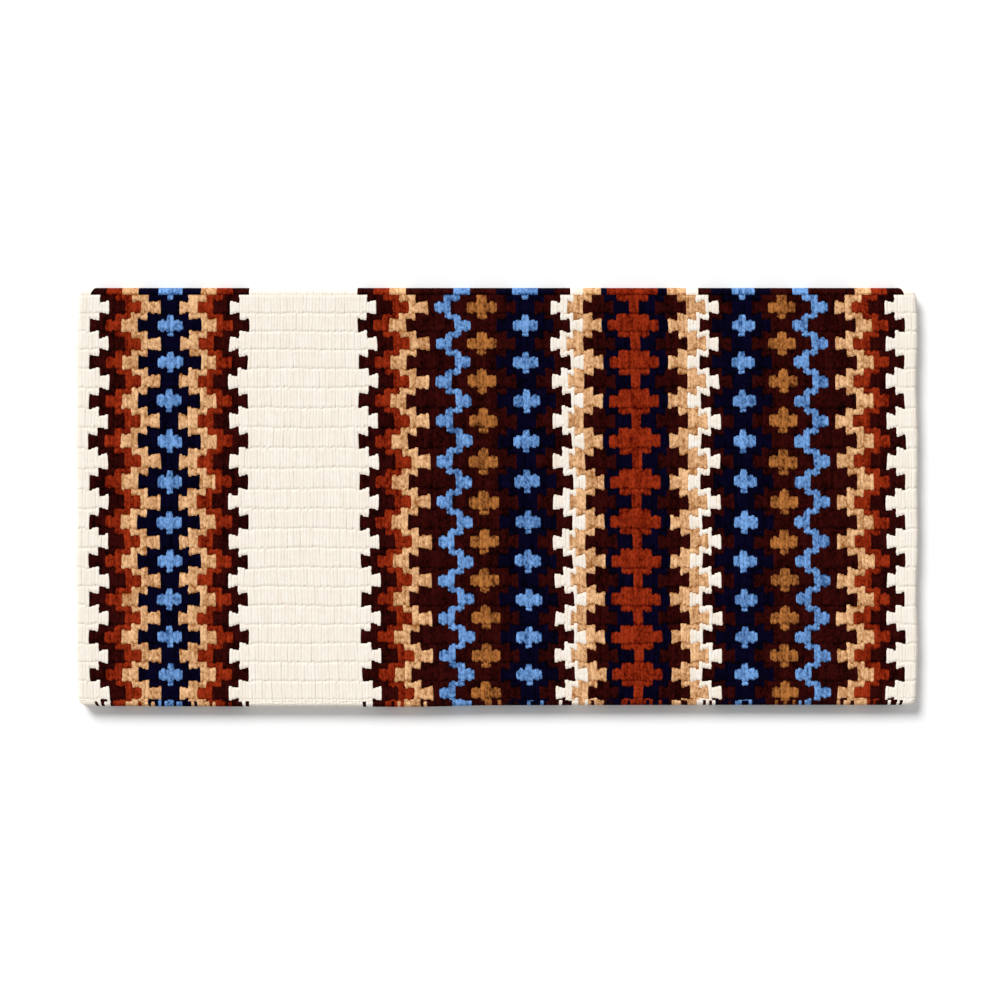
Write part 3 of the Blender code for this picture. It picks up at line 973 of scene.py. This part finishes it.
def tie_sheet(name, first, last, steps):
    """A waved sheet between two places of the run."""
    bm = bmesh.new()
    bmesh.ops.create_grid(bm, x_segments=TIE_STEPS_ACROSS, y_segments=steps, size=1)
    bake_map = bm.loops.layers.uv.new("OFBake")
    yarn_map = bm.loops.layers.uv.new("yarn")
    for face in bm.faces:
        for loop in face.loops:
            u, v = (loop.vert.co.x + 1) / 2, (loop.vert.co.y + 1) / 2
            loop[bake_map].uv = (u, v)
            loop[yarn_map].uv = (u * PICKS, v * steps / TIE_STEPS_PER_RIB)
    spots = np.array([vert.co[:] for vert in bm.verts])
    run = first + (last - first) * (spots[:, 1] + 1) / 2
    reach = TIE_REACH * np.sin(math.pi * run / RIB)
    placed = lay(spots[:, 0] * (HALF_WIDTH - TIE_END), run, reach)
    for vert, place in zip(bm.verts, placed):
        vert.co = place
    bmesh.ops.solidify(bm, geom=bm.faces[:], thickness=TIE_THICKNESS)
    bmesh.ops.recalc_face_normals(bm, faces=bm.faces)
    mesh = finished_mesh(bm, name)
    mesh.attributes.new("tint", "FLOAT", "POINT")
    mesh.materials.append(TIE_WOOL)
    mesh.shade_smooth()
    return put_in_scene(name, mesh)


TIE_DEEP, TIE_LIGHT = (0.52, 0.44, 0.34), (0.70, 0.62, 0.50)
TIE_WOOL = wool("tie_wool", TIE_DEEP, TIE_LIGHT)
half_steps = TIE_STEPS_PER_RIB * (WARPS_PER_HALF - 2)
for half, half_sign in (("top", 1), ("under", -1)):
    begin, end = half_sign * (ROLL_RUN + TIE_GAP), half_sign * (NOSE_RUN - RIB)
    tie = tie_sheet(f"{half}_tie_weft", begin, end, half_steps)
    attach(tie, f"{half}_half")
fold_tie = tie_sheet("spine_fold_tie_weft", -FOLD_END, FOLD_END, 2 * TIE_STEPS_PER_RIB)
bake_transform(fold_tie)

# %% [markdown]
# The warps and the selvedge cords are the solids of the frame. They are hard-twisted cord, and
# they only need its finish. These solids have no yarn map, so the strands of the cord come
# from a wave that is turned against its length.

# %% Warps and selvedge cords
STRAND_SCALE = 420.0
STRAND_TURN = 35  # degrees
CORD_DEEP, CORD_LIGHT = (0.50, 0.42, 0.32, 1), (0.76, 0.68, 0.55, 1)
CORD_GLOSS = 0.2
CORD_BUMP = {"Strength": 0.5, "Distance": 0.0004}


def cord_finish():
    """Pale twisted cord."""
    material, tree, shader = new_material("warp_cord_finish")
    shader.inputs["Specular IOR Level"].default_value = CORD_GLOSS
    place = add(tree, "ShaderNodeTexCoord").outputs["Object"]
    turn = (0.0, 0.0, math.radians(STRAND_TURN))
    turned = add(tree, "ShaderNodeMapping", {"Vector": place, "Rotation": turn})
    strands = add(tree, "ShaderNodeTexWave", {"Vector": turned.outputs[0], "Scale": STRAND_SCALE})
    fuzz = add(tree, "ShaderNodeGroup", node_tree=FUZZ)
    colours = add(tree, "ShaderNodeMix", data_type="RGBA")
    colours.inputs[MIX_A].default_value = CORD_DEEP
    colours.inputs[MIX_B].default_value = CORD_LIGHT
    tree.links.new(strands.outputs["Fac"], colours.inputs[0])
    tree.links.new(colours.outputs[MIX_RESULT], shader.inputs["Base Color"])
    tree.links.new(fuzz.outputs["Roughness"], shader.inputs["Roughness"])
    bumped = add(tree, "ShaderNodeBump", CORD_BUMP)
    tree.links.new(strands.outputs["Fac"], bumped.inputs["Height"])
    tree.links.new(bumped.outputs["Normal"], shader.inputs["Normal"])
    return material


CORD_FINISH = cord_finish()
cords = [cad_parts[f"{half}_{name}"] for half in woven for name in ("warp", "selvedge_cord")]
for node in (*cords, fold_warp):
    node.data.materials.clear()
    node.data.materials.append(CORD_FINISH)
print("cord finish on", sorted(node.name for node in (*cords, fold_warp)))

# %% [markdown]
# The cloth is one rectangle, 36 inches wide and as long again before it is folded.

# %% [markdown]
# The photograph looks straight down with a long lens, and its frame is a little over a metre
# wide. The blanket lies slightly left of and above the middle. The light comes from the upper
# left, so the shadow shows along the selvedge and the right end.

# %% Camera
FRAME_WIDTH = 1.0886
CAMERA_HEIGHT = 3.4
CENTRE_OFFSET = (0.0027, -0.0029)
SENSOR = 36.0

camera_data = bpy.data.cameras.new("camera")
camera_data.sensor_width = SENSOR
camera_data.lens = SENSOR * (CAMERA_HEIGHT - cad_high.z) / FRAME_WIDTH
camera = put_in_scene("camera", camera_data)
camera.location = (*CENTRE_OFFSET, CAMERA_HEIGHT)
bpy.context.scene.camera = camera
print("lens", round(camera_data.lens, 1), "mm")

# %% [markdown]
# A plain white floor catches the shadow. To the camera and to shiny things the world is white,
# and what it gives as light is kept apart from that. The camera sees the floor a touch brighter
# than its light makes it, so that it is white right up to the blanket. The sun is the key
# light, and its wide angle softens the edge of the shadow.

# %% Floor and light
FLOOR_DROP = 0.0002
FLOOR_SIZE = 6.0
FLOOR_COLOUR = (0.97, 0.97, 0.97, 1)
SUN_STRENGTH = 3.1
SUN_ANGLE = 26  # degrees
SUN_TURN = (-39, -31.5)  # degrees about X and Y
SKY_STRENGTH = 0.38
FLOOR_LIFT = 0.04  # how much the camera sees the floor brighter than its light makes it


def seen_directly(tree):
    """1 for rays from the camera and for mirrored or refracted ones, and 0 for light."""
    paths = add(tree, "ShaderNodeLightPath").outputs
    shiny = math_node(tree, "MAXIMUM", paths["Is Glossy Ray"], paths["Is Transmission Ray"])
    return math_node(tree, "MAXIMUM", paths["Is Camera Ray"], shiny)


world = bpy.data.worlds.new("studio")
world.use_nodes = True
bpy.context.scene.world = world
background = world.node_tree.nodes["Background"]
background.inputs["Color"].default_value = (1, 1, 1, 1)
shown = seen_directly(world.node_tree)
strength = math_node(world.node_tree, "MULTIPLY_ADD", shown, 1 - SKY_STRENGTH, SKY_STRENGTH)
world.node_tree.links.new(strength, background.inputs["Strength"])

sun_data = bpy.data.lights.new("key", "SUN")
sun_data.energy = SUN_STRENGTH
sun_data.angle = math.radians(SUN_ANGLE)
sun = put_in_scene("key", sun_data)
sun.rotation_euler = (math.radians(SUN_TURN[0]), math.radians(SUN_TURN[1]), 0)

floor_bm = bmesh.new()
bmesh.ops.create_grid(floor_bm, x_segments=1, y_segments=1, size=FLOOR_SIZE / 2)
bmesh.ops.translate(floor_bm, verts=floor_bm.verts, vec=(0, 0, -FLOOR_DROP))
floor_mesh = finished_mesh(floor_bm, "floor")
floor_paint, paint, paint_shader = new_material("floor_paint")
paint_shader.inputs["Base Color"].default_value = FLOOR_COLOUR
paint_shader.inputs["Roughness"].default_value = 1.0
paint_shader.inputs["Specular IOR Level"].default_value = 0.0
paint_shader.inputs["Emission Color"].default_value = (1, 1, 1, 1)
lifted = math_node(paint, "MULTIPLY", seen_directly(paint), FLOOR_LIFT)
paint.links.new(lifted, paint_shader.inputs["Emission Strength"])
floor_mesh.materials.append(floor_paint)
floor = put_in_scene("floor", floor_mesh)
bpy.context.scene.view_settings.view_transform = "Standard"
print("stage set")
